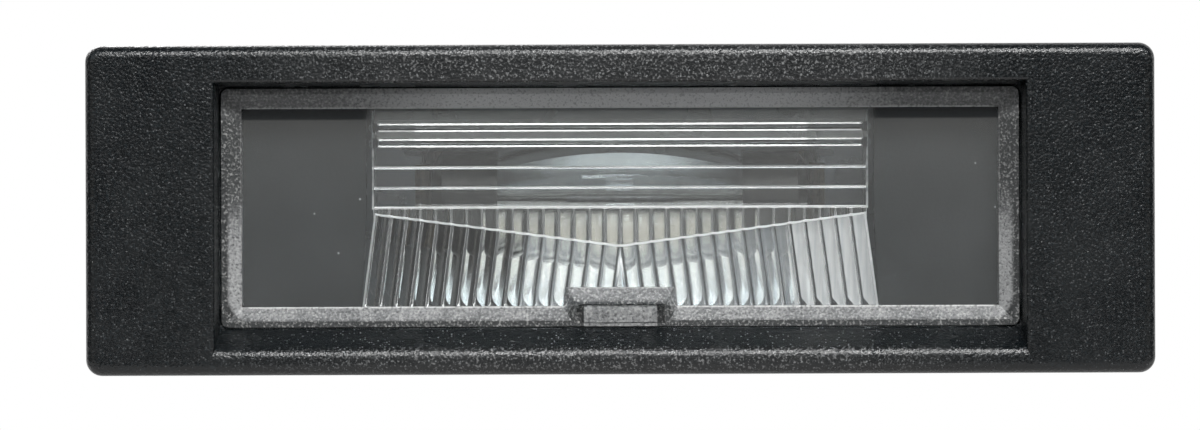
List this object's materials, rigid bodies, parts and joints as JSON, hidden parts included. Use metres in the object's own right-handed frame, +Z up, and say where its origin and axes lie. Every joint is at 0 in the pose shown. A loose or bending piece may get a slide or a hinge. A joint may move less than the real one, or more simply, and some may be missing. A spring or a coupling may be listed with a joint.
{
  "type": "number plate lamp",
  "caption": "Slim rectangular number plate lamp: black bezel, recessed clear lens with rods, prisms and a fluted fan, festoon bulb in a chamber behind, clipped into a panel cut-out.",
  "frame": {"origin": "middle of the panel cut-out, on the seat plane where the gasket's back face bears on the panel", "axes": "+X along the lamp to the viewer's right, +Y from the lens into the car, +Z up as pictured"},
  "size_m": [0.093, 0.0333, 0.0286],
  "materials": {
    "black_plastic": "fine grained moulded face, semi-matt",
    "carrier_plastic": "plain moulded",
    "clear_plastic": "clear moulding with a frosted border",
    "bright_metal": "vacuum metallised, bright",
    "bulb_glass": "clear blown glass",
    "nickel": "nickel plated brass, drawn",
    "solder": "tin solder, domed",
    "tungsten": "drawn wire",
    "bronze": "phosphor bronze strip",
    "tinned_brass": "tin plated brass",
    "spring_steel": "blank spring strip",
    "seal_rubber": "soft moulded rubber",
    "foam": "closed cell foam"
  },
  "bodies": {
    "root": {"housing": "black_plastic", "lens": "clear_plastic", "reflector": "bright_metal", "bulb_glass": "bulb_glass", "bulb_filament": "tungsten", "bulb_cap_left": "nickel", "bulb_cap_right": "nickel", "bulb_solder_left": "solder", "bulb_solder_right": "solder", "bulb_lead_left": "tungsten", "bulb_lead_right": "tungsten", "contact_left": "bronze", "contact_right": "bronze", "terminal_left": "tinned_brass", "terminal_right": "tinned_brass", "bulb_carrier": "carrier_plastic", "carrier_seal": "seal_rubber", "flange_gasket": "foam", "retaining_spring": "spring_steel"}
  },
  "joints": []
}
